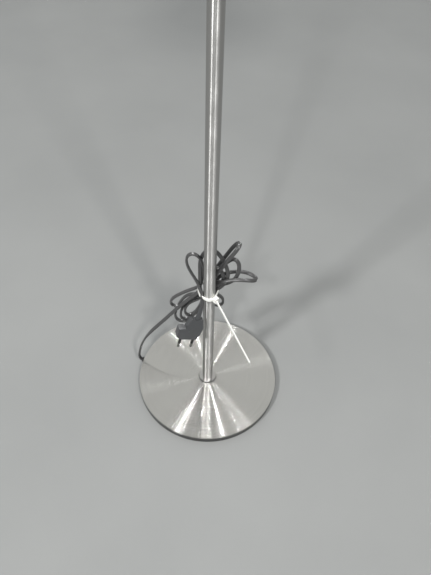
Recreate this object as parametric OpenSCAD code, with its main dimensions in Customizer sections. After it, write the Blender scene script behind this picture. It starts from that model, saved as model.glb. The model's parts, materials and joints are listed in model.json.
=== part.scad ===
// Arc floor lamp: weighted disc base, two-section pole, swivelling arched arm and
// a tilting dome head. The mains lead is stored on the pole in a tied hank.
// Origin: centre of the base on the floor. +Z is up, and the arm reaches along +X.

/* [Base] */
// Outer diameter of the base disc
base_d = 220; // [200:5:240]
// Height of the base's top face above the floor
base_h = 12.5; // [12:0.5:14]
// Gap between the cover's lower edge and the floor
base_gap = 2; // [1.5:0.5:2.5]

/* [Pole and arm] */
// Outside diameter of the pole and arm tube
tube_d = 16; // [16:0.5:17]
// Length of each of the two pole sections
section_len = 720; // [600:10:760]
// Radius of the arm's bend
arc_r = 210; // [180:5:240]
// How far the arm bends round
arc_sweep = 150; // [140:5:160]

/* [Head] */
// Outside diameter of the dome shade
shade_d = 220; // [200:5:240]
// Straight lip below the dome
shade_lip = 8; // [4:1:15]

/* [Mains lead] */
// Width of the flat twin lead
lead_w = 5.4; // [5:0.1:5.6]
// Thickness of the flat twin lead
lead_t = 3.3; // [3:0.1:3.4]

/* [Hidden] */
$fn = 64;

tube_r = tube_d / 2;
tube_wall = 1.2;
tube_ir = tube_r - tube_wall;
skin = 1.2;             // sheet thickness of the base cover
edge = 0.8;             // small bevel round the top of the base
thread_r = 5;           // hollow M10 threads
stud_bore = 3.2;
insert_len = 32;
joint_z = base_h + section_len;
pole_top = base_h + 2 * section_len;

// Base, measured up from the floor
weight_z0 = base_gap + 0.8;
weight_z1 = base_h - skin;
weight_r = base_d / 2 - skin - 0.3;
pocket_r = 16;
pocket_z = 8.3;
washer_t = 1.2;
nut_z = 4;
cord_az = 165;          // direction in which the lead leaves the base
cord_z = 6.6;           // height of the lead in the base
groove_w = 8.4;
groove_z = 9.3;
clamp_x = 86;
screw_off = 9.5;

// Swivel at the top of the pole
bush_len = 40;
flange_t = 2;
spigot_r = 5.5;
spigot_clear = 0.05;
arm_z0 = pole_top + flange_t + 0.3;
arc_z = arm_z0 + 25;    // height at which the bend starts
arm_tail = 20;          // straight socket after the bend
set_screw_z = arm_z0 + 8;

// Knuckle and head, measured from the pivot
pivot_reach = 17;       // from the end of the arm to the pivot
ear_gap = 9;
ear_out = 8;
washer_in = 3.8;
tongue_half = 3.6;
bolt_r = 2.5;
bolt_hole = 2.55;
end_x = arc_r * (1 - cos(arc_sweep)) + arm_tail * sin(arc_sweep);
end_z = arc_z + arc_r * sin(arc_sweep) + arm_tail * cos(arc_sweep);
pivot_x = end_x + pivot_reach * sin(arc_sweep);
pivot_z = end_z + pivot_reach * cos(arc_sweep);
cup_top = -16;
cup_bottom = -62;
cup_r = 21;
shade_top = -64;
shade_t = 1;
neck_r = 20;            // hole in the shade for the lampholder
neck_flat = 30;         // outer radius of the flat round that hole
dome_r = shade_d / 2;
dome_z = shade_top - sqrt(dome_r * dome_r - neck_flat * neck_flat);
switch_x = 13.5;
bulb_z = -125;
bulb_r = 30;

// Lead: rises from the base to the hank, and hangs from the hank to the plug
tie_z = 222;
tie_w = 4.4;
tie_t = 1.1;
tie_head = [6.6, 5.6, 7];
tie_corner = 0.6;       // rounding of the tie's head
riser_points = [
    [-108.2, 29, 6.6], [-111.5, 29.8, 8.5], [-113.5, 30, 14], [-113.5, 29.5, 22], [-111.5, 28, 33],
    [-108.5, 25.5, 50], [-103, 22.5, 71], [-95, 20, 91], [-84, 17.5, 112], [-71, 15, 133],
    [-57, 12, 157], [-44, 9, 180], [-32, 7.5, 198], [-22, 7, 210], [-15.5, 7.4, 217.5],
    [-13.4, 8, 223], [-13.4, 9.6, 230]
];
tail_points = [
    [-17.8, 10.5, 239], [-13.8, 5.8, 233.5], [-10.9, 1.8, 228.5], [-10, -1, 223],
    [-9.6, -4.3, 218.5], [-9.2, -7.3, 214.2], [-9.4, -9.7, 210.5], [-10.4, -10.6, 206.3]
];
plug_pos = [-20.7, -15.8, 189];
plug_tilt = [-8, 16, 13];
plug_cut = 40;          // more than the plug's width and thickness
neck_x = 6;             // the neck and its relief stand to one side of the pins
relief_len = 20;
relief_size = [7.4, 5];
relief_round = 2.2;
// Plug seen from the front as [x, z], with a ledge beside its neck, and from the side as [y, z]
plug_outline = [
    [-2, 0], [13.5, 0], [17, -15], [15, -28], [11.5, -36], [-11.5, -36], [-18, -31],
    [-17.5, -16.5], [-8, -15.5], [-4, -2]
];
plug_side = [[-3.6, 0], [3.6, 0], [5.2, -18], [5.4, -36], [-5.4, -36], [-5.2, -18]];
pin_r = 2;
pin_gap = 18.6;
pin_face = -36;
sleeve_len = 12;
pin_len = 19;

// ---- helpers ----

function unit(v) = v / norm(v);

// Catmull-Rom point between b and c
function curve(a, b, c, d, t) =
    0.5 * (2 * b + (c - a) * t + (2 * a - 5 * b + 4 * c - d) * t * t
           + (3 * b - a - 3 * c + d) * t * t * t);

// Route with `steps` rings to each pair of points, passing through all of them
function smooth(p, steps) =
    let (n = len(p) - 1)
    [for (i = [0:n], k = [0:i == n ? 0 : steps - 1])
        i == n ? p[n] : curve(p[max(i - 1, 0)], p[i], p[i + 1], p[min(i + 2, n)], k / steps)];

// Flat lead swept along a path; `wide` is the way its width lies
module flat_lead(path, wide) {
    sides = 8;
    n = len(path) - 1;
    rings = [
        for (i = [0:n])
            let (
                t = unit(path[min(i + 1, n)] - path[max(i - 1, 0)]),
                w = unit(wide - (wide * t) * t),
                h = cross(t, w)
            )
            for (k = [0:sides - 1])
                path[i] + w * (lead_w / 2 * cos(360 * (k + 0.5) / sides))
                    + h * (lead_t / 2 * sin(360 * (k + 0.5) / sides))
    ];
    walls = [
        for (i = [0:n - 1], k = [0:sides - 1])
            let (a = i * sides + k, b = i * sides + (k + 1) % sides)
            [a, a + sides, b + sides, b]
    ];
    caps = [
        [for (k = [0:sides - 1]) k],
        [for (k = [sides - 1:-1:0]) n * sides + k]
    ];
    polyhedron(points = rings, faces = concat(walls, caps));
}

module tube(r_out, r_in, z0, z1) {
    translate([0, 0, z0])
        difference() {
            cylinder(r = r_out, h = z1 - z0);
            translate([0, 0, -1])
                cylinder(r = r_in, h = z1 - z0 + 2);
        }
}

// Rectangle about the origin with rounded corners
module rounded(x, y, r) {
    offset(r, $fn = 32)
        square([x - 2 * r, y - 2 * r], center = true);
}

module toward_cord() {
    rotate([0, 0, cord_az])
        children();
}

// Moves things to the end of the arm, with +Z along the tube and out of it
module at_arm_end() {
    translate([end_x, 0, end_z])
        rotate([0, arc_sweep, 0])
            children();
}

module at_pivot() {
    translate([pivot_x, 0, pivot_z])
        children();
}

// A solid with two round ends, standing in the XZ plane between two depths
module lobe(from, to, r, y0, y1) {
    run = norm(to - from);
    lean = atan2(to[0] - from[0], to[1] - from[1]);
    translate([from[0], y1, from[1]])
        rotate([90, 0, 0])
            linear_extrude(y1 - y0)
                rotate([0, 0, -lean])
                    union() {
                        circle(r);
                        translate([-r, 0])
                            square([2 * r, run]);
                        translate([0, run])
                            circle(r);
                    }
}

module at_plug() {
    translate(plug_pos)
        rotate(plug_tilt)
            children();
}

// ---- base ----

module base_cover() {
    r = base_d / 2;
    color("silver")
        difference() {
            rotate_extrude($fn = 180)
                polygon([
                    [thread_r + 0.1, base_h], [r - edge, base_h], [r, base_h - edge],
                    [r, base_gap], [r - skin, base_gap], [r - skin, base_h - skin],
                    [thread_r + 0.1, base_h - skin]
                ]);
            toward_cord()
                translate([r - 8, 0, cord_z])
                    rotate([0, 90, 0])
                        cylinder(r = 3.9, h = 16);
        }
}

module base_weight() {
    color("dimgray")
        difference() {
            tube(weight_r, thread_r + 0.1, weight_z0, weight_z1);
            translate([0, 0, weight_z0 - 1])
                cylinder(r = pocket_r, h = pocket_z - weight_z0 + 1);
            toward_cord() {
                translate([0, -groove_w / 2, weight_z0 - 1])
                    cube([base_d, groove_w, groove_z - weight_z0 + 1]);
                translate([weight_r - 4, -groove_w / 2, weight_z0 - 1])
                    cube([10, groove_w, 10.6 - weight_z0 + 1]);
                translate([clamp_x - 5.5, -14, weight_z0 - 1])
                    cube([11, 28, 4.7 - weight_z0 + 1]);
                for (y = [-screw_off, screw_off])
                    translate([clamp_x, y, 0])
                        cylinder(r = 1.5, h = 9, $fn = 24);
            }
        }
}

// Foam pad, hollowed above a thin skin to clear the foot nut and the lead
module floor_pad() {
    color("black")
        difference() {
            cylinder(r = 105, h = weight_z0);
            translate([0, 0, 0.3])
                cylinder(r = 20, h = weight_z0);
        }
}

module pole_collar() {
    color("gainsboro")
        rotate_extrude()
            polygon([
                [tube_r + 0.05, base_h], [13.7, base_h], [13.7, base_h + 1.6],
                [12.9, base_h + 2.6], [tube_r + 0.05, base_h + 2.8]
            ]);
}

module foot_insert() {
    color("goldenrod")
        tube(tube_ir, thread_r, base_h, base_h + 21.5);
}

module foot_stud() {
    color("silver")
        tube(thread_r, stud_bore, nut_z, base_h + 17.5);
}

module foot_washer() {
    color("silver")
        tube(13, thread_r + 0.1, pocket_z - washer_t, pocket_z);
}

module foot_nut() {
    color("silver")
        translate([0, 0, nut_z])
            difference() {
                cylinder(r = 9.8, h = pocket_z - washer_t - nut_z, $fn = 6);
                translate([0, 0, -1])
                    cylinder(r = thread_r, h = 10);
            }
}

module cord_grommet() {
    color("black")
        toward_cord()
            translate([0, 0, cord_z])
                rotate([0, 90, 0])
                    difference() {
                        union() {
                            translate([0, 0, base_d / 2 - 4])
                                cylinder(r = 3.9, h = 6);
                            translate([0, 0, base_d / 2 + 0.3])
                                cylinder(r = 4.6, h = 1.7);
                        }
                        translate([0, 0, base_d / 2 - 8])
                            cylinder(r = lead_w / 2 + 0.15, h = 16);
                    }
}

module cord_clamp() {
    color("dimgray")
        toward_cord()
            difference() {
                union() {
                    translate([clamp_x - 5, -13.5, 3])
                        cube([10, 27, 1.7]);
                    translate([clamp_x - 5, -3.5, 4.5])
                        cube([10, 7, cord_z - lead_t / 2 - 4.5]);
                }
                for (y = [-screw_off, screw_off])
                    translate([clamp_x, y, 0]) {
                        cylinder(r = 1.6, h = 9, $fn = 24);
                        cylinder(r = 2.8, h = 3.9, $fn = 24);
                    }
            }
}

module clamp_screws() {
    color("silver")
        toward_cord()
            for (y = [-screw_off, screw_off])
                translate([clamp_x, y, 3]) {
                    cylinder(r = 2.6, h = 0.9, $fn = 24);
                    cylinder(r = 1.5, h = 6, $fn = 24);
                }
}

module inner_lead() {
    out = [cos(cord_az), sin(cord_az), 0];
    path = [
        out * (base_d / 2 + 2) + [0, 0, cord_z],
        out * 60 + [0, 0, cord_z],
        out * 26 + [0, 0, cord_z],
        out * 21 + [0, 0, 5.2],
        out * 16 + [0, 0, 3.2],
        out * 11 + [0, 0, 2],
        out * 5 + [0, 0, 2],
        out * 2.2 + [0, 0, 2.9],
        out * 0.6 + [0, 0, 4.6],
        [0, 0, 8],
        [0, 0, joint_z],
        [0, 0, pole_top - bush_len - 6]
    ];
    color("black")
        flat_lead(path, [-sin(cord_az), cos(cord_az), 0]);
}

// ---- pole ----

module lower_pole() {
    color("silver")
        tube(tube_r, tube_ir, base_h, joint_z);
}

module joiner_insert_lower() {
    color("goldenrod")
        tube(tube_ir, thread_r, joint_z - insert_len, joint_z);
}

module joiner_insert_upper() {
    color("goldenrod")
        tube(tube_ir, thread_r, joint_z, joint_z + insert_len);
}

module joiner_stud() {
    color("silver")
        tube(thread_r, stud_bore, joint_z - 20, joint_z + 20);
}

module upper_pole() {
    color("silver")
        tube(tube_r, tube_ir, joint_z, pole_top);
}

// Bush with a flange for the arm to turn on, and a stop lug below it on the +X side
module swivel_bush() {
    lug_angle = 20;
    bore_r = spigot_r + spigot_clear;
    bottom = pole_top - bush_len;
    color("white") {
        rotate_extrude()
            polygon([
                [bore_r, bottom], [tube_ir, bottom], [tube_ir, pole_top], [tube_r, pole_top],
                [tube_r, pole_top + flange_t], [bore_r, pole_top + flange_t]
            ]);
        rotate([0, 0, -lug_angle / 2])
            rotate_extrude(angle = lug_angle)
                translate([spigot_r + 0.3, bottom - 3])
                    square([0.8, 4]);
    }
}

// ---- mains lead on the pole ----

module tie_outline(grow) {
    hull() {
        circle(tube_r + 0.3 + grow);
        translate([-11, 0.5])
            circle(1.7 + grow, $fn = 32);
        translate([-12.8, 9])
            circle(2.8 + grow, $fn = 32);
        translate([-10.4, 17])
            circle(2.9 + grow, $fn = 32);
        translate([6.6, 17])
            circle(2.9 + grow, $fn = 32);
        translate([9.2, 9])
            circle(2.4 + grow, $fn = 32);
    }
}

module cable_tie() {
    head = [8.7, -7.6, tie_z];
    tail_end = [56, -80, 184];
    run = tail_end - head;
    color("white") {
        translate([0, 0, tie_z - tie_w / 2])
            linear_extrude(tie_w)
                difference() {
                    tie_outline(tie_t);
                    tie_outline(0);
                }
        translate(head)
            rotate([0, 0, 45])
                linear_extrude(tie_head[2], center = true)
                    rounded(tie_head[0], tie_head[1], tie_corner);
        translate(head)
            rotate([0, 0, atan2(run[1], run[0])])
                rotate([0, atan2(norm([run[0], run[1]]), run[2]), 0])
                    linear_extrude(norm(run), scale = [0.7, 1], slices = 1)
                        square([tie_w, tie_t], center = true);
    }
}

module cord_riser() {
    color("black")
        flat_lead(smooth(riser_points, 2), [-sin(cord_az), cos(cord_az), 0]);
}

module cord_tail() {
    color("black")
        flat_lead(smooth(tail_points, 2), [0, 1, 0]);
}

// Outer shape of the folded lead: a waist through the tie, loops above it to both
// sides and loops below it to the left
module cord_hank() {
    color("black") {
        translate([-11.8, 9.2, 202])
            cube([19.4, 9.6, 46]);
        lobe([-14, 240], [-20.5, 279], 11.5, 10, 20);
        lobe([2, 246], [3, 283], 9, 9.4, 20);
        lobe([10, 262], [31, 304], 7, 10, 20);
        lobe([10, 236], [25, 270], 13, 10, 20);
        lobe([20, 250], [50, 250], 12.5, 10.5, 20);
        lobe([-18, 206], [-45, 186], 10, 12, 21);
        lobe([-16, 196], [-35, 163], 14, 12.2, 21);
        lobe([8, 209], [10, 193], 9, 9.6, 19);
    }
}

module plug_strain_relief() {
    color("black")
        at_plug()
            translate([neck_x, 0, 0])
                linear_extrude(relief_len, scale = [0.78, 0.74], slices = 1)
                    rounded(relief_size[0], relief_size[1], relief_round);
}

module plug_body() {
    color("dimgray")
        at_plug()
            difference() {
                intersection() {
                    rotate([90, 0, 0])
                        linear_extrude(plug_cut, center = true)
                            polygon(plug_outline);
                    rotate([90, 0, 90])
                        linear_extrude(plug_cut, center = true)
                            polygon(plug_side);
                }
                for (x = [-pin_gap / 2, pin_gap / 2])
                    translate([x, 0, pin_face - 1])
                        cylinder(r = pin_r, h = 9);
            }
}

module plug_pins() {
    color("silver")
        at_plug()
            for (x = [-pin_gap / 2, pin_gap / 2])
                translate([x, 0, pin_face - pin_len]) {
                    cylinder(r = pin_r, h = pin_len - sleeve_len);
                    cylinder(r = pin_r - 0.5, h = pin_len + 8);
                }
}

module plug_pin_sleeves() {
    color("black")
        at_plug()
            for (x = [-pin_gap / 2, pin_gap / 2])
                translate([x, 0, 0])
                    tube(pin_r, pin_r - 0.5, pin_face - sleeve_len, pin_face + 8);
}

// ---- arm ----

module arm_spigot() {
    bottom = pole_top - bush_len - 4;
    color("gainsboro")
        difference() {
            union() {
                tube(spigot_r, 3.1, bottom, arm_z0 + 1);
                tube(tube_ir, 3.1, arm_z0, arm_z0 + 22);
            }
            translate([-20, 0, bottom + 2.4])
                rotate([0, 90, 0])
                    cylinder(r = 0.9, h = 20, $fn = 24);
            translate([0, -4, set_screw_z])
                rotate([90, 0, 0])
                    cylinder(r = 2, h = 10, $fn = 24);
        }
}

module swivel_stop_pin() {
    color("silver")
        translate([-6.5, 0, pole_top - bush_len - 1.6])
            rotate([0, 90, 0])
                cylinder(r = 0.9, h = 3.2, $fn = 24);
}

module set_screws() {
    color("dimgray") {
        translate([0, -4, set_screw_z])
            rotate([90, 0, 0])
                cylinder(r = 2, h = 3.8, $fn = 24);
        at_arm_end()
            translate([0, -4, -9])
                rotate([90, 0, 0])
                    cylinder(r = 2, h = 3.8, $fn = 24);
    }
}

module arc_tube() {
    color("silver")
        difference() {
            union() {
                tube(tube_r, tube_ir, arm_z0, arc_z);
                translate([arc_r, 0, arc_z])
                    rotate([90, 0, 180])
                        rotate_extrude(angle = arc_sweep, $fn = 128)
                            translate([arc_r, 0])
                                difference() {
                                    circle(tube_r, $fn = 64);
                                    circle(tube_ir, $fn = 64);
                                }
            }
            translate([0, -4, set_screw_z])
                rotate([90, 0, 0])
                    cylinder(r = 2, h = 10, $fn = 24);
        }
}

// Straight socket brazed to the end of the bend
module arm_end_socket() {
    color("silver")
        at_arm_end()
            difference() {
                tube(tube_r, tube_ir, -arm_tail, 0);
                translate([0, -4, -9])
                    rotate([90, 0, 0])
                        cylinder(r = 2, h = 10, $fn = 24);
            }
}

// Lead through the arm, in the same plane as the bend
module arm_lead() {
    step = 6;
    dir = [sin(arc_sweep), 0, cos(arc_sweep)];
    path = concat(
        [[0, 0, pole_top - bush_len - 3.5], [0, 0, arc_z - 8]],
        [for (a = [0:step:arc_sweep]) [arc_r * (1 - cos(a)), 0, arc_z + arc_r * sin(a)]],
        [[end_x, 0, end_z] + dir * -6, [end_x, 0, end_z] + dir * 3]
    );
    color("black")
        flat_lead(path, [0, 1, 0]);
}

module knuckle_fork() {
    color("gainsboro")
        at_arm_end()
            difference() {
                union() {
                    translate([0, 0, -18])
                        cylinder(r = tube_ir, h = 19);
                    cylinder(r = tube_r + 1, h = 3);
                    for (s = [0, 1])
                        mirror([0, s, 0])
                            translate([0, ear_out, 0])
                                rotate([90, 0, 0])
                                    linear_extrude(ear_out - ear_gap / 2)
                                        union() {
                                            translate([0, pivot_reach])
                                                circle(7);
                                            translate([-7, 2])
                                                square([14, pivot_reach - 2]);
                                        }
                }
                translate([0, 0, -20])
                    cylinder(r = 3.1, h = 24);
                translate([0, 20, pivot_reach])
                    rotate([90, 0, 0])
                        cylinder(r = bolt_hole, h = 40);
                translate([0, -4, -9])
                    rotate([90, 0, 0])
                        cylinder(r = 2, h = 10, $fn = 24);
            }
}

module friction_washers() {
    color("white")
        at_pivot()
            for (s = [0, 1])
                mirror([0, s, 0])
                    translate([0, ear_gap / 2, 0])
                        rotate([90, 0, 0])
                            tube(6, bolt_hole, 0, ear_gap / 2 - washer_in);
}

module pivot_bolt() {
    color("silver")
        at_pivot() {
            translate([0, 11, 0])
                rotate([90, 0, 0])
                    cylinder(r = bolt_r, h = 20);
            translate([0, -ear_out, 0])
                rotate([90, 0, 0])
                    cylinder(r = 5, h = 3);
        }
}

module pivot_nut() {
    color("silver")
        at_pivot()
            translate([0, ear_out, 0])
                rotate([-90, 0, 0])
                    difference() {
                        cylinder(r = 6, h = 5);
                        translate([0, 0, -1])
                            cylinder(r = bolt_r, h = 4);
                    }
}

// ---- head ----

module knuckle_tongue() {
    color("gainsboro")
        at_pivot()
            difference() {
                union() {
                    translate([0, tongue_half, 0])
                        rotate([90, 0, 0])
                            cylinder(r = 7, h = 2 * tongue_half);
                    intersection() {
                        translate([0, 0, cup_top])
                            cylinder(r = 6, h = -cup_top);
                        translate([-8, -tongue_half, cup_top])
                            cube([16, 2 * tongue_half, -cup_top]);
                    }
                    translate([0, 0, cup_top])
                        cylinder(r = 9, h = 3);
                    translate([0, 0, cup_top - 8])
                        cylinder(r = thread_r, h = 9);
                }
                translate([0, 20, 0])
                    rotate([90, 0, 0])
                        cylinder(r = bolt_hole, h = 40);
                translate([0, 0, cup_top - 10])
                    cylinder(r = 3, h = 15);
                for (x = [-4.3, 4.3])
                    translate([x, 0, -12])
                        cylinder(r = 1.3, h = 20, $fn = 24);
            }
}

module cup_nut() {
    color("silver")
        at_pivot()
            translate([0, 0, cup_top - 5])
                difference() {
                    cylinder(r = 7.2, h = 3, $fn = 6);
                    translate([0, 0, -1])
                        cylinder(r = thread_r, h = 5);
                }
}

module holder_cup() {
    color("gainsboro")
        at_pivot()
            difference() {
                union() {
                    tube(cup_r, cup_r - 1.2, cup_bottom, cup_top - 1);
                    translate([0, 0, cup_top - 2])
                        cylinder(r = cup_r, h = 2);
                }
                translate([0, 0, cup_top - 3])
                    cylinder(r = thread_r, h = 5);
                translate([switch_x, 0, cup_top - 3])
                    cylinder(r = 4.4, h = 5);
            }
}

module lampholder() {
    color("black")
        at_pivot()
            difference() {
                union() {
                    tube(18.5, 13.3, cup_bottom, -28);
                    tube(25, 13.3, shade_top, cup_bottom);
                    tube(19.5, 13.3, shade_top - 10, shade_top);
                    translate([0, 0, -45])
                        cylinder(r = 14, h = 17);
                }
                for (x = [-5, 5])
                    translate([x, 0, -34])
                        cylinder(r = 1.2, h = 8, $fn = 24);
            }
}

// Spun dome: flat round the lampholder, then a sphere, then a straight lip
module shade() {
    lip_z = dome_z - shade_lip;
    color("gainsboro")
        at_pivot()
            rotate_extrude($fn = 180)
                union() {
                    translate([0, dome_z])
                        intersection() {
                            difference() {
                                circle(dome_r, $fn = 180);
                                circle(dome_r - shade_t, $fn = 180);
                            }
                            translate([neck_flat - 0.3, 0])
                                square([dome_r, dome_r]);
                        }
                    translate([neck_r, shade_top - shade_t - 0.2])
                        square([neck_flat - neck_r + 0.3, shade_t + 0.2]);
                    translate([dome_r - shade_t, lip_z])
                        square([shade_t, shade_lip + 0.1]);
                    translate([dome_r - 1.2, lip_z])
                        circle(1.2, $fn = 24);
                }
}

module shade_ring() {
    color("black")
        at_pivot()
            tube(26, 19.6, shade_top - 7, shade_top - shade_t - 0.2);
}

// Globe with a flared neck, `wall` smaller all round
module bulb_shape(wall) {
    neck_z = -71;
    shoulder_z = -85;
    meet_h = 9;             // height above the globe's centre where the neck meets it
    meet_r = sqrt(bulb_r * bulb_r - meet_h * meet_h) - 0.4;
    translate([0, 0, bulb_z])
        sphere(r = bulb_r - wall);
    translate([0, 0, bulb_z + meet_h])
        cylinder(r1 = meet_r - wall, r2 = 15 - wall, h = shoulder_z - bulb_z - meet_h);
    translate([0, 0, shoulder_z])
        cylinder(r1 = 15 - wall, r2 = 13 - wall, h = neck_z - shoulder_z);
}

// Open-necked glass envelope
module bulb_glass() {
    wall = 0.8;
    color("white")
        at_pivot()
            difference() {
                bulb_shape(0);
                bulb_shape(wall);
            }
}

module bulb_cap() {
    color("silver")
        at_pivot() {
            tube(13, 11, -71, -49);
            translate([0, 0, -50])
                cylinder(r = 13, h = 2);
            translate([0, 0, -48.5])
                cylinder(r = 5, h = 3.5);
        }
}

module switch_body() {
    color("black")
        at_pivot()
            translate([switch_x, 0, 0])
                difference() {
                    union() {
                        translate([0, 0, -27.5])
                            cylinder(r = 5.5, h = 9.5);
                        translate([0, 0, -19])
                            cylinder(r = 4.4, h = 5.2);
                    }
                    translate([0, 0, -26.5])
                        cylinder(r = 3.3, h = 20);
                }
}

module switch_button() {
    color("gainsboro")
        at_pivot()
            translate([switch_x, 0, -23])
                cylinder(r = 3, h = 13.5);
}

// Two single wires from the knuckle to the lampholder
module head_wires() {
    color("white")
        at_pivot()
            for (s = [-1, 1]) {
                translate([s * 4.3, 0, -11])
                    cylinder(r = 1.1, h = 17, $fn = 16);
                translate([s * 1.8, 0, -29])
                    cylinder(r = 1.1, h = 17.5, $fn = 16);
            }
}

base_cover();
base_weight();
floor_pad();
pole_collar();
foot_insert();
foot_stud();
foot_washer();
foot_nut();
cord_grommet();
cord_clamp();
clamp_screws();
inner_lead();
lower_pole();
joiner_insert_lower();
joiner_insert_upper();
joiner_stud();
upper_pole();
swivel_bush();
cable_tie();
cord_riser();
cord_hank();
cord_tail();
plug_strain_relief();
plug_body();
plug_pins();
plug_pin_sleeves();
arm_spigot();
swivel_stop_pin();
set_screws();
arc_tube();
arm_end_socket();
arm_lead();
knuckle_fork();
friction_washers();
pivot_bolt();
pivot_nut();
knuckle_tongue();
cup_nut();
holder_cup();
lampholder();
shade();
shade_ring();
bulb_glass();
bulb_cap();
switch_body();
switch_button();
head_wires();
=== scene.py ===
"""Looks of the arc floor lamp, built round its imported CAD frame. Units are metres."""
import json
import math

import bmesh
import bpy
from mathutils import Matrix, Vector
from mathutils.kdtree import KDTree


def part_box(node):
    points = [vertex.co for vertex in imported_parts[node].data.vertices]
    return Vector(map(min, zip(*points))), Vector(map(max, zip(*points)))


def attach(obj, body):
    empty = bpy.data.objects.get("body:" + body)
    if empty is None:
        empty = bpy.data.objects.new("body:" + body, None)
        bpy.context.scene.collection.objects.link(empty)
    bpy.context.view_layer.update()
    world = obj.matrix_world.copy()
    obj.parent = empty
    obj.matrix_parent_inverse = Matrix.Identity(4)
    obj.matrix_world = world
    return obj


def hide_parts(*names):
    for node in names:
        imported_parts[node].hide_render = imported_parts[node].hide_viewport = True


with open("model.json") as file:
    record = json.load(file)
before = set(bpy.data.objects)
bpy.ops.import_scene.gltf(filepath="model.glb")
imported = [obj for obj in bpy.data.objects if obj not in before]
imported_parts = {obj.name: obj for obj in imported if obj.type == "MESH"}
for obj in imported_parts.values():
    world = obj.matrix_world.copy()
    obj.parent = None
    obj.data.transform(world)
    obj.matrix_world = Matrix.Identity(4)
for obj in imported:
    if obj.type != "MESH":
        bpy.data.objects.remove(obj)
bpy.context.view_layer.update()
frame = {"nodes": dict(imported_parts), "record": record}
MM = 0.001

# ---------------------------------------------------------------- camera

LENS_MM = 36.04
CAMERA_AT = (0.0079, -0.4801, 0.8282)
PITCH_DOWN = 50.84
ROLL = 2.065


def make_camera():
    data = bpy.data.cameras.new("camera")
    data.lens = LENS_MM
    data.sensor_width = 36
    data.clip_start = 0.02
    data.clip_end = 60
    cam = bpy.data.objects.new("camera", data)
    bpy.context.scene.collection.objects.link(cam)
    tilt = Matrix.Rotation(math.radians(90 - PITCH_DOWN), 4, "X")
    roll = Matrix.Rotation(math.radians(ROLL), 4, "Z")
    cam.matrix_world = Matrix.Translation(CAMERA_AT) @ tilt @ roll
    bpy.context.scene.camera = cam
    return cam


# ---------------------------------------------------------------- curves and meshes


def catmull(a, b, c, d, t):
    """Point on the smooth curve from b to c."""
    return 0.5 * (
        2 * b + (c - a) * t + (2 * a - 5 * b + 4 * c - d) * t * t
        + (3 * b - a - 3 * c + d) * t * t * t
    )


def smooth_path(points, steps):
    """The curve through the points, with `steps` samples to each pair."""
    n = len(points) - 1
    out = []
    for i in range(n):
        a, b, c, d = points[max(i - 1, 0)], points[i], points[i + 1], points[min(i + 2, n)]
        out += [catmull(a, b, c, d, k / steps) for k in range(steps)]
    return out + [points[-1]]


def relax(points, rounds, fixed=3):
    """Takes the kinks out of a path and leaves its ends where they are."""
    for _ in range(rounds):
        inner = [
            0.5 * points[i] + 0.25 * (points[i - 1] + points[i + 1])
            for i in range(fixed, len(points) - fixed)
        ]
        points = points[:fixed] + inner + points[-fixed:]
    return points


def mesh_object(name, verts, faces, smooth=True):
    mesh = bpy.data.meshes.new(name)
    mesh.from_pydata([tuple(v) for v in verts], [], faces)
    mesh.update()
    bm = bmesh.new()
    bm.from_mesh(mesh)
    bmesh.ops.recalc_face_normals(bm, faces=bm.faces)
    bm.to_mesh(mesh)
    bm.free()
    for polygon in mesh.polygons:
        polygon.use_smooth = smooth
    obj = bpy.data.objects.new(name, mesh)
    bpy.context.scene.collection.objects.link(obj)
    return obj


def sweep(name, path, wide, section):
    """A closed tube: section(i) gives the (across, up) points of ring i, across along wide[i]."""
    verts, faces = [], []
    n = len(path)
    last = None
    for i in range(n):
        tangent = (path[min(i + 1, n - 1)] - path[max(i - 1, 0)]).normalized()
        w = wide[i] - tangent * wide[i].dot(tangent)
        w.normalize()
        if last is not None and w.dot(last) < 0:
            w = -w
        last = w
        up = tangent.cross(w)
        ring = section(i)
        verts += [path[i] + w * x + up * y for x, y in ring]
    sides = len(verts) // n
    for i in range(n - 1):
        for k in range(sides):
            a, b = i * sides + k, i * sides + (k + 1) % sides
            faces.append((a, b, b + sides, a + sides))
    faces.append(tuple(range(sides)))
    faces.append(tuple((n - 1) * sides + k for k in reversed(range(sides))))
    return mesh_object(name, verts, faces)


# ---------------------------------------------------------------- mains lead

LEAD_WIDTH = 5.4 * MM
LEAD_THICK = 3.3 * MM
LEAD_GAP = 3.9 * MM
POLE_CLEAR = 9.9 * MM
STEPS = 6
# The samples at each end that stay where the riser and the plug need them
HELD_START = 9 * STEPS
HELD_END = 4 * STEPS
NODES = frame["nodes"]
PLUG_PARTS = ("plug_strain_relief", "plug_body", "plug_pins", "plug_pin_sleeves")

PATH_ROUNDS = 4
TWIST_ROUNDS = 14
APART_ROUNDS = 24

FRONT_ABOVE = Vector((0, -0.6, 0.8))
FACING = None

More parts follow.
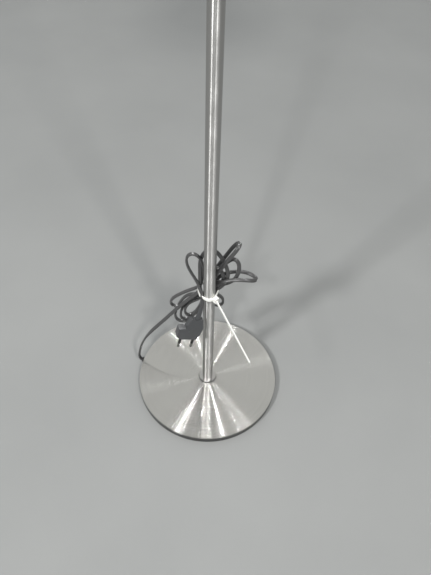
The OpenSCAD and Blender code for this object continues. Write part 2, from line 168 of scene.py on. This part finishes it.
# The lead's route in metres, in the order in which it runs. Each stretch says how the
# lead's width lies there, or FACING where its flat side is turned to the front and up, and
# its points. The riser and the tail are part.scad's own.
ROUTE = [
    ("riser", (0.26, 0.97, 0), [
        (-0.1082, 0.029, 0.0066), (-0.1115, 0.0298, 0.0085), (-0.1135, 0.030, 0.014),
        (-0.1135, 0.0295, 0.022), (-0.1115, 0.028, 0.033), (-0.1085, 0.0255, 0.050),
        (-0.103, 0.0225, 0.071), (-0.095, 0.020, 0.091)]),
    ("riser turning its face", FACING, [
        (-0.084, 0.0175, 0.112), (-0.071, 0.015, 0.133), (-0.057, 0.012, 0.157),
        (-0.044, 0.009, 0.180), (-0.032, 0.0075, 0.198), (-0.022, 0.007, 0.210)]),
    ("riser through the tie", FACING, [
        (-0.0155, 0.0074, 0.2175), (-0.0134, 0.008, 0.223), (-0.0134, 0.0096, 0.230)]),
    ("upper loop over the pole", FACING, [
        (-0.0128, 0.013, 0.238), (-0.0132, 0.0155, 0.250), (-0.0134, 0.017, 0.264),
        (-0.012, 0.0175, 0.278), (-0.007, 0.017, 0.290), (0.000, 0.0155, 0.2965),
        (0.008, 0.0135, 0.294), (0.014, 0.0123, 0.285), (0.0195, 0.0118, 0.2725),
        (0.023, 0.0115, 0.2605), (0.0242, 0.0115, 0.2495), (0.022, 0.0115, 0.239),
        (0.0165, 0.0115, 0.230), (0.011, 0.0108, 0.2255)]),
    ("small lower right loop", (0, 1, 0), [
        (0.0082, 0.0103, 0.220), (0.0093, 0.0104, 0.2135), (0.0135, 0.0112, 0.208),
        (0.0185, 0.012, 0.202), (0.020, 0.012, 0.194), (0.0175, 0.0125, 0.186),
        (0.011, 0.014, 0.181), (0.003, 0.016, 0.184), (0.000, 0.017, 0.196)]),
    ("waist up 1", (1, 0, 0), [(0.0007, 0.0172, 0.212), (0.0007, 0.0172, 0.228)]),
    ("narrow upper right loop", FACING, [
        (0.003, 0.019, 0.243), (0.010, 0.0225, 0.2575), (0.0175, 0.026, 0.2675),
        (0.0245, 0.0275, 0.281), (0.0305, 0.0268, 0.293), (0.0352, 0.0225, 0.3027),
        (0.037, 0.0155, 0.308), (0.035, 0.0085, 0.3082), (0.030, 0.0055, 0.3005),
        (0.0245, 0.0065, 0.290), (0.019, 0.0085, 0.277), (0.0115, 0.0103, 0.2592),
        (0.004, 0.011, 0.243)]),
    ("waist down 1", (1, 0, 0), [(0.0007, 0.0102, 0.228), (0.0007, 0.0102, 0.213)]),
    ("outer nested loop", (0, 1, 0), [
        (-0.004, 0.0125, 0.2035), (-0.015, 0.017, 0.202), (-0.027, 0.018, 0.202),
        (-0.036, 0.0175, 0.194), (-0.0425, 0.0165, 0.180), (-0.0475, 0.014, 0.167),
        (-0.0495, 0.012, 0.157), (-0.0465, 0.011, 0.148), (-0.038, 0.011, 0.144),
        (-0.029, 0.012, 0.150), (-0.020, 0.0135, 0.165), (-0.012, 0.0145, 0.183),
        (-0.0065, 0.0142, 0.200)]),
    ("waist up 2", (1, 0, 0), [(-0.0049, 0.0137, 0.213), (-0.0049, 0.0137, 0.230)]),
    ("round upper right loop", FACING, [
        (-0.001, 0.0142, 0.243), (0.008, 0.0165, 0.2548), (0.0185, 0.0185, 0.2647),
        (0.026, 0.0185, 0.2745), (0.0315, 0.0155, 0.2798), (0.0362, 0.0125, 0.2765),
        (0.038, 0.0113, 0.2687), (0.0375, 0.0113, 0.2587), (0.0355, 0.012, 0.2478),
        (0.0305, 0.0135, 0.237), (0.0225, 0.0135, 0.2305), (0.0135, 0.0137, 0.2285)]),
    ("waist down 2", (1, 0, 0), [(0.0073, 0.0137, 0.2215), (0.006, 0.0137, 0.211)]),
    ("middle nested loop", (0, 1, 0), [
        (0.000, 0.0155, 0.2015), (-0.011, 0.0185, 0.197), (-0.022, 0.0195, 0.193),
        (-0.032, 0.018, 0.184), (-0.0385, 0.015, 0.1732), (-0.0415, 0.0115, 0.1622),
        (-0.040, 0.0108, 0.1528), (-0.034, 0.0118, 0.148), (-0.026, 0.0142, 0.1505),
        (-0.016, 0.0172, 0.1643), (-0.006, 0.0187, 0.1812), (0.003, 0.018, 0.197)]),
    ("waist up 3", (1, 0, 0), [(0.0063, 0.0172, 0.212), (0.0063, 0.0172, 0.226)]),
    ("far right loop", FACING, [
        (0.0095, 0.0185, 0.236), (0.0175, 0.0215, 0.242), (0.028, 0.024, 0.2435),
        (0.0385, 0.0255, 0.2438), (0.049, 0.0245, 0.2435), (0.0575, 0.021, 0.242),
        (0.0625, 0.0155, 0.242), (0.061, 0.009, 0.2445), (0.053, 0.006, 0.248),
        (0.043, 0.006, 0.249), (0.033, 0.0075, 0.247), (0.022, 0.010, 0.242),
        (0.0115, 0.013, 0.236)]),
    ("waist down 3", (1, 0, 0), [(0.003, 0.0137, 0.227), (0.0007, 0.0137, 0.213)]),
    ("inner nested loop", (0, 1, 0), [
        (-0.0045, 0.0148, 0.2025), (-0.014, 0.0152, 0.197), (-0.024, 0.0145, 0.192),
        (-0.0315, 0.0125, 0.1842), (-0.0348, 0.0105, 0.174), (-0.034, 0.0102, 0.1647),
        (-0.0285, 0.0117, 0.1577), (-0.021, 0.0142, 0.1593), (-0.015, 0.0172, 0.172),
        (-0.009, 0.0178, 0.190)]),
    ("waist up 4", (1, 0, 0), [(-0.0049, 0.0172, 0.211), (-0.0049, 0.0172, 0.228)]),
    ("inner upper right loop", FACING, [
        (-0.0035, 0.0175, 0.2418), (0.001, 0.0172, 0.2533), (0.0065, 0.0157, 0.2617),
        (0.013, 0.0127, 0.2611), (0.0175, 0.0112, 0.2527), (0.0188, 0.0112, 0.243),
        (0.0155, 0.0124, 0.232), (0.0085, 0.0124, 0.2275), (0.001, 0.0115, 0.2255)]),
    ("waist down 4", (1, 0, 0), [(-0.0045, 0.0104, 0.2205), (-0.0055, 0.0106, 0.212)]),
    ("long lower left loop", (0, 1, 0), [
        (-0.010, 0.0138, 0.2045), (-0.018, 0.0165, 0.197), (-0.028, 0.0165, 0.188),
        (-0.037, 0.0155, 0.1795), (-0.0455, 0.0145, 0.176), (-0.0525, 0.014, 0.1785),
        (-0.0555, 0.014, 0.1865), (-0.0515, 0.014, 0.1955), (-0.042, 0.0142, 0.204),
        (-0.030, 0.0145, 0.2125), (-0.020, 0.0148, 0.2175), (-0.0135, 0.0152, 0.222)]),
    ("upper left loop", (0, 1, 0), [
        (-0.0105, 0.0158, 0.231), (-0.0095, 0.0165, 0.246), (-0.0092, 0.016, 0.262),
        (-0.0115, 0.015, 0.2765), (-0.0165, 0.014, 0.2855), (-0.0235, 0.014, 0.289),
        (-0.0295, 0.014, 0.2845), (-0.0315, 0.014, 0.2755), (-0.0295, 0.014, 0.2625),
        (-0.0235, 0.0135, 0.248), (-0.0178, 0.0105, 0.239)]),
    ("tail", (0.3, 0.95, 0), [
        (-0.0138, 0.0058, 0.2335), (-0.0109, 0.0018, 0.2285), (-0.010, -0.001, 0.223),
        (-0.0096, -0.0043, 0.2185)]),
    ("tail at the plug", (0.937, 0.216, -0.276), [
        (-0.0092, -0.0073, 0.2142), (-0.0094, -0.0097, 0.2105), (-0.0104, -0.0106, 0.2063)]),
]


def push_apart(points, gap, rounds):
    """Moves crossing stretches of the lead apart until they lie `gap` from each other."""
    n = len(points)
    neighbours = 9
    share = 0.3
    for _ in range(rounds):
        tree = KDTree(n)
        for i, p in enumerate(points):
            tree.insert(p, i)
        tree.balance()
        moved = [Vector((0, 0, 0)) for _ in range(n)]
        for i, p in enumerate(points):
            for q, k, distance in tree.find_range(p, gap):
                if abs(k - i) > neighbours and distance > 1e-6:
                    moved[i] += (p - q) * (share * (gap - distance) / distance)
        for i in range(HELD_START, n - HELD_END):
            q = points[i] + moved[i]
            flat = Vector((q.x, q.y, 0))
            if flat.length < POLE_CLEAR and q.z > 0.02:
                q += flat.normalized() * (POLE_CLEAR - flat.length)
            points[i] = q
        points = relax(points, 1)
    return points


def lead_route():
    """The lead's centreline and the way its width lies, sampled closely and evened out."""
    points = [Vector(p) for _, _, stretch in ROUTE for p in stretch]
    given = [w for _, w, stretch in ROUTE for _ in stretch]
    wide = []
    for i, w in enumerate(given):
        if w is FACING:
            direction = (points[i + 1] - points[i - 1]).cross(FRONT_ABOVE).normalized()
        else:
            direction = Vector(w).normalized()
        if wide and direction.dot(wide[-1]) < 0:
            direction = -direction
        wide.append(direction)
    path = relax(smooth_path(points, STEPS), PATH_ROUNDS)
    wide = relax(smooth_path(wide, STEPS), TWIST_ROUNDS)
    return push_apart(path, LEAD_GAP, APART_ROUNDS), wide


def twin_section(width, thick, arc=6):
    """Outline of a flat twin lead: two round cores side by side, with a shallow groove between."""
    r = thick / 2
    half = width / 2 - r
    groove = 0.16 * r
    reach = 78
    right = []
    for k in range(arc):
        a = math.radians(-reach + 2 * reach * k / (arc - 1))
        right.append((half + r * math.cos(a), r * math.sin(a)))
    left = [(-x, -y) for x, y in right]
    return right + [(0, r - groove)] + left + [(0, groove - r)]


def make_lead():
    path, wide = lead_route()
    section = twin_section(LEAD_WIDTH, LEAD_THICK)
    lead = sweep("mains_lead", path, wide, lambda i: section)
    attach(lead, "stand")
    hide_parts("cord_riser", "cord_hank", "cord_tail")
    return lead


# ---------------------------------------------------------------- finishes


def new_finish(name, colour, rough, metallic=0.0, **sockets):
    """A Principled material. What is even all over is set on the shader's own sockets."""
    mat = bpy.data.materials.new(name)
    mat.use_nodes = True
    shader = mat.node_tree.nodes["Principled BSDF"]
    shader.inputs["Base Color"].default_value = (*colour, 1)
    shader.inputs["Roughness"].default_value = rough
    shader.inputs["Metallic"].default_value = metallic
    for socket, value in sockets.items():
        shader.inputs[socket.replace("_", " ")].default_value = value
    return mat, shader


def add_node(mat, kind, settings=None, **values):
    node = mat.node_tree.nodes.new(kind)
    for key, value in (settings or {}).items():
        setattr(node, key, value)
    for socket, value in values.items():
        node.inputs[socket.replace("_", " ")].default_value = value
    return node


def wire(mat, source, target):
    mat.node_tree.links.new(source, target)


def place(mat, stretch=(1, 1, 1)):
    """Position on the part in metres, stretched along its axes."""
    where = add_node(mat, "ShaderNodeTexCoord")
    mapping = add_node(mat, "ShaderNodeMapping", Scale=stretch)
    wire(mat, where.outputs["Object"], mapping.inputs["Vector"])
    return mapping.outputs["Vector"]


def noise(mat, scale, stretch=(1, 1, 1), detail=4.0):
    node = add_node(mat, "ShaderNodeTexNoise", Scale=scale, Detail=detail)
    wire(mat, place(mat, stretch), node.inputs["Vector"])
    return node.outputs["Fac"]


def ramp(mat, value, low, high):
    """The value spread from low to high, as a number or as a colour."""
    node = add_node(mat, "ShaderNodeValToRGB")
    for element, level in zip(node.color_ramp.elements, (low, high)):
        rgb = level if isinstance(level, tuple) else (level, level, level)
        element.color = (*rgb, 1)
    node.color_ramp.elements[0].position = 0.3
    node.color_ramp.elements[1].position = 0.7
    wire(mat, value, node.inputs["Fac"])
    return node.outputs["Color"]


def vary_colour(mat, shader, value, low, high):
    wire(mat, ramp(mat, value, low, high), shader.inputs["Base Color"])


def vary_roughness(mat, shader, value, low, high):
    wire(mat, ramp(mat, value, low, high), shader.inputs["Roughness"])


def add_bump(mat, shader, value, height, strength=0.5):
    """A bump of that height in metres. A second call lies on top of the first."""
    node = add_node(mat, "ShaderNodeBump", Strength=strength, Distance=height)
    wire(mat, value, node.inputs["Height"])
    under = shader.inputs["Normal"].links
    if under:
        wire(mat, under[0].from_socket, node.inputs["Normal"])
    wire(mat, node.outputs["Normal"], shader.inputs["Normal"])


def around_axis(mat, shader):
    """Brushing that runs round the Z axis, with its highlights fanned across it."""
    tangent = add_node(mat, "ShaderNodeTangent", {"direction_type": "RADIAL", "axis": "Z"})
    wire(mat, tangent.outputs["Tangent"], shader.inputs["Tangent"])


def ring_lines(mat, per_metre, axis_x=0.0):
    """Fine lines round an upright axis, on flat faces and on upright ones alike."""
    centred = add_node(mat, "ShaderNodeVectorMath", {"operation": "SUBTRACT"})
    wire(mat, place(mat), centred.inputs[0])
    centred.inputs[1].default_value = (axis_x, 0, 0)
    split = add_node(mat, "ShaderNodeSeparateXYZ")
    wire(mat, centred.outputs["Vector"], split.inputs["Vector"])
    radius = add_node(mat, "ShaderNodeVectorMath", {"operation": "LENGTH"})
    flat = add_node(mat, "ShaderNodeCombineXYZ")
    wire(mat, split.outputs["X"], flat.inputs["X"])
    wire(mat, split.outputs["Y"], flat.inputs["Y"])
    wire(mat, flat.outputs["Vector"], radius.inputs["Vector"])
    along = add_node(mat, "ShaderNodeMath", {"operation": "ADD"})
    wire(mat, radius.outputs["Value"], along.inputs[0])
    wire(mat, split.outputs["Z"], along.inputs[1])
    lines = add_node(
        mat, "ShaderNodeTexNoise", {"noise_dimensions": "1D"}, Scale=per_metre, Detail=3.0
    )
    wire(mat, along.outputs["Value"], lines.inputs["W"])
    return lines.outputs["Fac"]


def brushed_steel(name, colour, rough, shade=0.03):
    """Stainless steel with fine brushing round the Z axis, and the colour of its lines."""
    mat, shader = new_finish(
        name, colour, rough, 1.0, Anisotropic=1.0, Anisotropic_Rotation=0.25
    )
    around_axis(mat, shader)
    lines = ring_lines(mat, 1900)
    dark = tuple(c - shade for c in colour)
    light = tuple(c + shade for c in colour)
    vary_colour(mat, shader, lines, dark, light)
    vary_roughness(mat, shader, noise(mat, 60), rough - 0.02, rough + 0.02)
    return mat, shader


def groove_normals(mat, shader, slope):
    """Tilts the surface in and out along its radius, as the walls of fine turned grooves do.

    The part is never turned, so the directions of its own axes are the world's.
    """
    where = add_node(mat, "ShaderNodeTexCoord")
    outward = add_node(mat, "ShaderNodeVectorMath", {"operation": "MULTIPLY"})
    wire(mat, where.outputs["Object"], outward.inputs[0])
    outward.inputs[1].default_value = (1, 1, 0)
    unit = add_node(mat, "ShaderNodeVectorMath", {"operation": "NORMALIZE"})
    wire(mat, outward.outputs["Vector"], unit.inputs[0])
    tilt = add_node(mat, "ShaderNodeMapRange")
    tilt.inputs["From Min"].default_value = 0.5 - GROOVE_SPREAD
    tilt.inputs["From Max"].default_value = 0.5 + GROOVE_SPREAD
    tilt.inputs["To Min"].default_value = -slope
    tilt.inputs["To Max"].default_value = slope
    wire(mat, ring_lines(mat, GROOVES_PER_METRE), tilt.inputs["Value"])
    lean = add_node(mat, "ShaderNodeVectorMath", {"operation": "SCALE"})
    wire(mat, unit.outputs["Vector"], lean.inputs[0])
    wire(mat, tilt.outputs["Result"], lean.inputs["Scale"])
    tilted = add_node(mat, "ShaderNodeVectorMath", {"operation": "ADD"})
    wire(mat, where.outputs["Normal"], tilted.inputs[0])
    wire(mat, lean.outputs["Vector"], tilted.inputs[1])
    even = add_node(mat, "ShaderNodeVectorMath", {"operation": "NORMALIZE"})
    wire(mat, tilted.outputs["Vector"], even.inputs[0])
    wire(mat, even.outputs["Vector"], shader.inputs["Normal"])


def disc_finish(name):
    """The brushed disc, with painted shade on its upright rim, which is made darker than its face.
    """
    mat, shader = brushed_steel(name, STEEL, DISC_ROUGH)
    groove_normals(mat, shader, GROOVE_SLOPE)
    face = shader.inputs["Base Color"].links[0].from_socket
    _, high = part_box("base_cover")
    split = add_node(mat, "ShaderNodeSeparateXYZ")
    wire(mat, place(mat), split.inputs["Vector"])
    upper = add_node(mat, "ShaderNodeMapRange")
    upper.inputs["From Min"].default_value = high[2] - RIM_FADE
    upper.inputs["From Max"].default_value = high[2] - RIM_FADE / 2
    wire(mat, split.outputs["Z"], upper.inputs["Value"])
    # Painted shade: the upright rim below the face takes a dark grey in place of the steel's
    # colour.
    paint = add_node(mat, "ShaderNodeMix", {"data_type": "RGBA"})
    wire(mat, upper.outputs["Result"], paint.inputs["Factor"])
    paint.inputs["A"].default_value = (*RIM_PAINTED_SHADE, 1)
    wire(mat, face, paint.inputs["B"])
    wire(mat, paint.outputs["Result"], shader.inputs["Base Color"])
    return mat


def bright_metal(name, colour, rough):
    """Turned or plated metal, with a fine grain and the faintest haze of handling."""
    mat, shader = new_finish(name, colour, rough, 1.0)
    grain = noise(mat, 1600, detail=3)
    vary_roughness(mat, shader, noise(mat, 260, detail=5), rough * 0.92, rough * 1.1)
    dark = tuple(c * 0.95 for c in colour)
    vary_colour(mat, shader, grain, dark, colour)
    add_bump(mat, shader, grain, 0.00001, 0.08)
    return mat


def satin_tube(name, colour, rough):
    """Drawn steel tube that bends, so its grain is even and has no one direction."""
    mat, shader = new_finish(name, colour, rough, 1.0)
    grain = noise(mat, 2600, detail=3)
    vary_colour(mat, shader, grain, tuple(c - 0.03 for c in colour), colour)
    vary_roughness(mat, shader, noise(mat, 90), rough - 0.02, rough + 0.03)
    add_bump(mat, shader, grain, 0.000008, 0.1)
    return mat


def moulded(name, colour, rough, grain=0.00004, **sockets):
    """Moulded plastic or rubber: a fine skin texture and a slow change of gloss."""
    mat, shader = new_finish(name, colour, rough, **sockets)
    dark = tuple(c * 0.93 for c in colour)
    light = tuple(min(c * 1.06 + 0.002, 1) for c in colour)
    vary_colour(mat, shader, noise(mat, 900), dark, light)
    vary_roughness(mat, shader, noise(mat, 420), rough - 0.03, rough + 0.03)
    add_bump(mat, shader, noise(mat, 3200, detail=2), grain, 0.3)
    return mat


def shade_finish(name):
    """Satin metal outside and white enamel inside, told apart by their place on the shell."""
    mat, shader = new_finish(name, NICKEL, 0.46, 1.0)
    low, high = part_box("shade")
    lines = ring_lines(mat, 1800, (low[0] + high[0]) / 2)
    centre_z = high[2] - SHADE_TOP_OVER_CENTRE
    middle = ((low[0] + high[0]) / 2, (low[1] + high[1]) / 2, centre_z)
    far = add_node(mat, "ShaderNodeVectorMath", {"operation": "DISTANCE"})
    wire(mat, place(mat), far.inputs[0])
    far.inputs[1].default_value = middle
    inside = add_node(mat, "ShaderNodeMath", {"operation": "LESS_THAN"})
    wire(mat, far.outputs["Value"], inside.inputs[0])
    inside.inputs[1].default_value = SHADE_RADIUS - SKIN
    split = add_node(mat, "ShaderNodeSeparateXYZ")
    wire(mat, place(mat), split.inputs["Vector"])
    under = add_node(mat, "ShaderNodeMath", {"operation": "LESS_THAN"})
    wire(mat, split.outputs["Z"], under.inputs[0])
    under.inputs[1].default_value = high[2] - SKIN
    both = add_node(mat, "ShaderNodeMath", {"operation": "MULTIPLY"})
    wire(mat, inside.outputs["Value"], both.inputs[0])
    wire(mat, under.outputs["Value"], both.inputs[1])
    paint = add_node(mat, "ShaderNodeMix", {"data_type": "RGBA"})
    wire(mat, both.outputs["Value"], paint.inputs["Factor"])
    wire(mat, ramp(mat, lines, tuple(c - 0.03 for c in NICKEL), NICKEL), paint.inputs["A"])
    paint.inputs["B"].default_value = (*ENAMEL, 1)
    wire(mat, paint.outputs["Result"], shader.inputs["Base Color"])
    bare = add_node(mat, "ShaderNodeMath", {"operation": "SUBTRACT"})
    bare.inputs[0].default_value = 1.0
    wire(mat, both.outputs["Value"], bare.inputs[1])
    wire(mat, bare.outputs["Value"], shader.inputs["Metallic"])
    add_bump(mat, shader, lines, 0.00002, 0.12)
    return mat


def opal_glass(name):
    mat, shader = new_finish(
        name, (0.93, 0.91, 0.87), 0.22,
        Transmission_Weight=0.25, Subsurface_Weight=0.2, Coat_Weight=0.6,
    )
    vary_roughness(mat, shader, noise(mat, 80), 0.18, 0.26)
    vary_colour(mat, shader, noise(mat, 30), (0.9, 0.88, 0.83), (0.95, 0.93, 0.9))
    return mat


def cast_finish(name):
    mat, shader = new_finish(name, (0.05, 0.05, 0.052), 0.6, 0.6)
    vary_colour(mat, shader, noise(mat, 140), (0.035, 0.035, 0.037), (0.07, 0.068, 0.066))
    add_bump(mat, shader, noise(mat, 900), 0.0002, 0.5)
    return mat


def foam_finish(name):
    mat, shader = new_finish(name, (0.03, 0.03, 0.03), 0.9)
    cells = add_node(mat, "ShaderNodeTexVoronoi", Scale=1400.0)
    wire(mat, place(mat), cells.inputs["Vector"])
    vary_colour(mat, shader, noise(mat, 200), (0.02, 0.02, 0.02), (0.045, 0.045, 0.045))
    add_bump(mat, shader, cells.outputs["Distance"], 0.0002, 0.6)
    return mat


ARM_PARTS = ("arc_tube", "arm_end_socket")
POLE_PARTS = ("lower_pole", "upper_pole")
STEEL = (0.79, 0.78, 0.75)
# Painted shade: the poles' steel is the disc's steel made darker, which darkens their reflections
SHADED_TUBE_STEEL = (0.48, 0.474, 0.462)
RIM_FADE = 0.0014
# Painted shade: the dark grey of the disc's upright rim
RIM_PAINTED_SHADE = (0.14, 0.14, 0.14)
DISC_ROUGH = 0.17
GROOVE_SLOPE = 0.62
GROOVES_PER_METRE = 1900
GROOVE_SPREAD = 0.14
NICKEL = (0.60, 0.58, 0.55)
ENAMEL = (0.86, 0.85, 0.82)
SKIN = 0.0004
SHADE_RADIUS = 0.110
SHADE_TOP_OVER_CENTRE = 0.1058

FINISHES = {
    "brushed_disc": disc_finish,
    "brushed_tube": lambda n: brushed_steel(n, SHADED_TUBE_STEEL, 0.235)[0],
    "arm_steel": lambda n: satin_tube(n, (0.62, 0.61, 0.59), 0.30),
    "cast_iron": cast_finish,
    "pad_foam": foam_finish,
    "polished_collar": lambda n: bright_metal(n, (0.78, 0.77, 0.75), 0.10),
    "insert_brass": lambda n: bright_metal(n, (0.70, 0.53, 0.26), 0.30),
    "zinc_steel": lambda n: bright_metal(n, (0.58, 0.58, 0.60), 0.34),
    "satin_nickel": lambda n: bright_metal(n, NICKEL, 0.28),
    "pin_nickel": lambda n: bright_metal(n, (0.34, 0.33, 0.31), 0.26),
    "grommet_rubber": lambda n: moulded(n, (0.022, 0.022, 0.024), 0.55),
    "lead_sheath": lambda n: moulded(
        n, (0.055, 0.056, 0.058), 0.32, 0.00003, Specular_IOR_Level=0.8),
    "plug_plastic": lambda n: moulded(
        n, (0.052, 0.055, 0.060), 0.34, Specular_IOR_Level=0.8),
    "black_plastic": lambda n: moulded(n, (0.02, 0.02, 0.021), 0.4),
    "button_plastic": lambda n: moulded(n, (0.22, 0.22, 0.225), 0.35),
    "nylon": lambda n: moulded(n, (0.78, 0.76, 0.70), 0.5),
    "tie_nylon": lambda n: moulded(n, (0.86, 0.87, 0.85), 0.30, 0.00002),
    "wire_pvc": lambda n: moulded(n, (0.70, 0.70, 0.67), 0.4),
    "shade_metal": shade_finish,
    "bulb_glass": opal_glass,
}


def finish_parts():
    """Gives each CAD part and the lead the finish that its material slot names."""
    made = {slot: build(slot) for slot, build in FINISHES.items()}
    for node, part in NODES.items():
        slot = part.data.materials[0].name.split(".")[0]
        part.data.materials[0] = made["arm_steel" if node in ARM_PARTS else slot]
    lead.data.materials.append(made["lead_sheath"])
    # Painted shadow: the dark ring round the collar's foot takes the black rubber finish.
    shadow_ring.data.materials.append(made["grommet_rubber"])
    lip.data.materials.append(made["satin_nickel"])


# ---------------------------------------------------------------- floor and light

TARGET = Vector((0, 0, 0.12))
FRONT_LIGHT = 0.10
BACK_LIGHT = 0.75
CEILING_LIGHT = 0.46


def make_floor():
    verts = [(-9, -9, 0), (9, -9, 0), (9, 9, 0), (-9, 9, 0)]
    floor = mesh_object("studio_floor", verts, [(0, 1, 2, 3)], smooth=False)
    mat, shader = new_finish("floor_paint", (0.4, 0.4, 0.4), 0.7)
    vary_colour(mat, shader, noise(mat, 3), (0.28, 0.291, 0.296), (0.31, 0.321, 0.326))
    floor.data.materials.append(mat)


def soft_light(name, azimuth, elevation, size, power, colour=(1, 1, 1)):
    """A round soft light in that direction from the base, turned towards it."""
    data = bpy.data.lights.new(name, "AREA")
    data.shape = "DISK"
    data.size = size
    data.energy = power
    data.color = colour
    a, e = math.radians(azimuth), math.radians(elevation)
    direction = Vector((math.cos(a) * math.cos(e), math.sin(a) * math.cos(e), math.sin(e)))
    light = bpy.data.objects.new(name, data)
    bpy.context.scene.collection.objects.link(light)
    light.location = TARGET + direction * LIGHTS_FAR
    light.rotation_euler = (-direction).to_track_quat("-Z", "Y").to_euler()
    return light


def world_range(nodes, links, source, low, high, to_low, to_high):
    node = nodes.new("ShaderNodeMapRange")
    node.inputs["From Min"].default_value = low
    node.inputs["From Max"].default_value = high
    for socket, level in (("To Min", to_low), ("To Max", to_high)):
        if isinstance(level, float):
            node.inputs[socket].default_value = level
        else:
            links.new(level, node.inputs[socket])
    links.new(source, node.inputs["Value"])
    return node.outputs["Result"]


def make_room_light():
    """A plain room with a pale wall behind the lamp, and slow changes of tone."""
    world = bpy.data.worlds.new("room")
    world.use_nodes = True
    nodes, links = world.node_tree.nodes, world.node_tree.links
    where = nodes.new("ShaderNodeTexCoord").outputs["Generated"]
    split = nodes.new("ShaderNodeSeparateXYZ")
    links.new(where, split.inputs["Vector"])
    cloud = nodes.new("ShaderNodeTexNoise")
    cloud.inputs["Scale"].default_value = 2.6
    cloud.inputs["Detail"].default_value = 2.0
    links.new(where, cloud.inputs["Vector"])
    tone = world_range(nodes, links, cloud.outputs["Fac"], 0.35, 0.65, 0.93, 1.07)
    walls = world_range(nodes, links, split.outputs["Y"], -0.6, 0.8, FRONT_LIGHT, BACK_LIGHT)
    room = world_range(nodes, links, split.outputs["Z"], 0.1, 0.95, walls, CEILING_LIGHT)
    strength = nodes.new("ShaderNodeMath")
    strength.operation = "MULTIPLY"
    links.new(tone, strength.inputs[0])
    links.new(room, strength.inputs[1])
    links.new(strength.outputs["Value"], nodes["Background"].inputs["Strength"])
    nodes["Background"].inputs["Color"].default_value = (0.98, 0.99, 0.97, 1)
    bpy.context.scene.world = world


# Three soft lights cast the shadows. The glints only add reflections to the brushed disc and
# to the poles: thin bright lines, and one faint wide band at the disc's sides. Each light has
# its azimuth and elevation in degrees, its size in metres and its power in watts.
LIGHTS_FAR = 5.0
SOFT_LIGHTS = {
    "soft_left": (224, 43, 0.55, 160, (1.0, 0.98, 0.95)),
    "soft_front": (-105, 50, 0.28, 68, (1.0, 0.98, 0.95)),
    "soft_right": (-62, 55, 0.40, 98, (1.0, 0.96, 0.90)),
}
DISC_GLINTS = {
    "disc_left": (229, 43, 0.05, 50),
    "disc_left_low": (236, 44, 0.03, 14),
    "disc_front": (-110, 78, 0.04, 7),
    "disc_middle": (-79, 78, 0.03, 6),
    "disc_right": (-62, 57, 0.05, 42),
    "disc_right_high": (-17, 68.6, 0.03, 8),
    "disc_right_low": (-6, 64, 0.03, 10),
    "disc_back": (79, 27, 0.05, 2.5),
    "disc_side": (61, 44, 0.5, 1.2),
}
POLE_GLINTS = {
    "pole_left": (229, 43, 0.05, 800),
    "pole_front": (-110, 78, 0.04, 400),
    "pole_right": (-62, 57, 0.05, 750),
    "pole_right_high": (-17, 68.6, 0.03, 300),
}
# Large soft reflections for the satin metal of the arm and head
GLOWS = {
    "glow_left": (215, 38, 1.8, 40),
    "glow_right": (-60, 50, 1.4, 26),
}
# A wide reflection from behind and above, on the upper sides of the lead and plug
GLEAMS = {
    "gleam_back": (92, 50, 1.8, 150),
}


def group_of(name, parts):
    """A collection of parts, for lights that shine on them only."""
    group = bpy.data.collections.new(name)
    for part in parts:
        group.objects.link(part)
    return group


def cad_parts(*bodies):
    rows = frame["record"]["behaviour"]["bodies"]
    return [NODES[n] for body in bodies for n in rows[body]]


def reflections(lights, parts):
    """Lights that show only as reflections on those parts."""
    for name, (azimuth, elevation, size, power) in lights.items():
        light = soft_light(name, azimuth, elevation, size, power)
        light.visible_diffuse = False
        light.light_linking.receiver_collection = parts


def make_lights():
    make_room_light()
    for name, (azimuth, elevation, size, power, colour) in SOFT_LIGHTS.items():
        light = soft_light(name, azimuth, elevation, size, power, colour)
        light.visible_glossy = False
    flex = [lead] + [NODES[n] for n in PLUG_PARTS]
    poles = [NODES[n] for n in POLE_PARTS]
    rest = [part for part in cad_parts("stand") if part not in poles]
    reflections(POLE_GLINTS, group_of("pole_parts", poles))
    reflections(DISC_GLINTS, group_of("foot_parts", rest + [lead, shadow_ring]))
    reflections(GLOWS, group_of("upper_parts", cad_parts("arm", "head", "button") + [lip]))
    reflections(GLEAMS, group_of("lead_parts", flex))
    bpy.context.scene.view_settings.view_transform = "Standard"


def ring(name, radius, height, thick):
    """A thin round-sectioned ring about the Z axis."""
    steps, sides = 96, 10
    verts, faces = [], []
    for i in range(steps):
        a = 2 * math.pi * i / steps
        for k in range(sides):
            b = 2 * math.pi * k / sides
            r = radius + thick * math.cos(b)
            verts.append((r * math.cos(a), r * math.sin(a), height + thick * math.sin(b)))
            j = (i + 1) % steps
            m = (k + 1) % sides
            faces.append((i * sides + k, j * sides + k, j * sides + m, i * sides + m))
    return mesh_object(name, verts, faces)


def make_collar_shadow_ring():
    """A thin dark ring round the foot of the pole's collar: painted shadow of the gap where the
    collar meets the disc.
    """
    low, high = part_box("pole_collar")
    shadow_ring = ring("collar_shadow_ring", high[0], low[2] + 0.0002, 0.00032)
    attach(shadow_ring, "stand")
    return shadow_ring


def soften(part, width):
    """Rounds the sharp edges of a moulded part."""
    weld = part.modifiers.new("weld", "WELD")
    weld.merge_threshold = 0.00001
    bevel = part.modifiers.new("bevel", "BEVEL")
    bevel.width = width
    bevel.segments = 3
    bevel.limit_method = "ANGLE"
    bevel.angle_limit = math.radians(28)


def make_shade_lip():
    """The rolled bead round the dome's open edge."""
    low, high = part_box("shade")
    bead = 0.0011
    lip = ring("shade_lip", (high[0] - low[0]) / 2 - 0.0004, low[2] + bead / 2, bead)
    lip.location.x = (low[0] + high[0]) / 2
    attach(lip, "head")
    return lip


cam = make_camera()
lead = make_lead()
# The dark ring of painted shadow round the collar's foot
shadow_ring = make_collar_shadow_ring()
lip = make_shade_lip()
soften(NODES["plug_body"], 0.0007)
finish_parts()
make_floor()
make_lights()
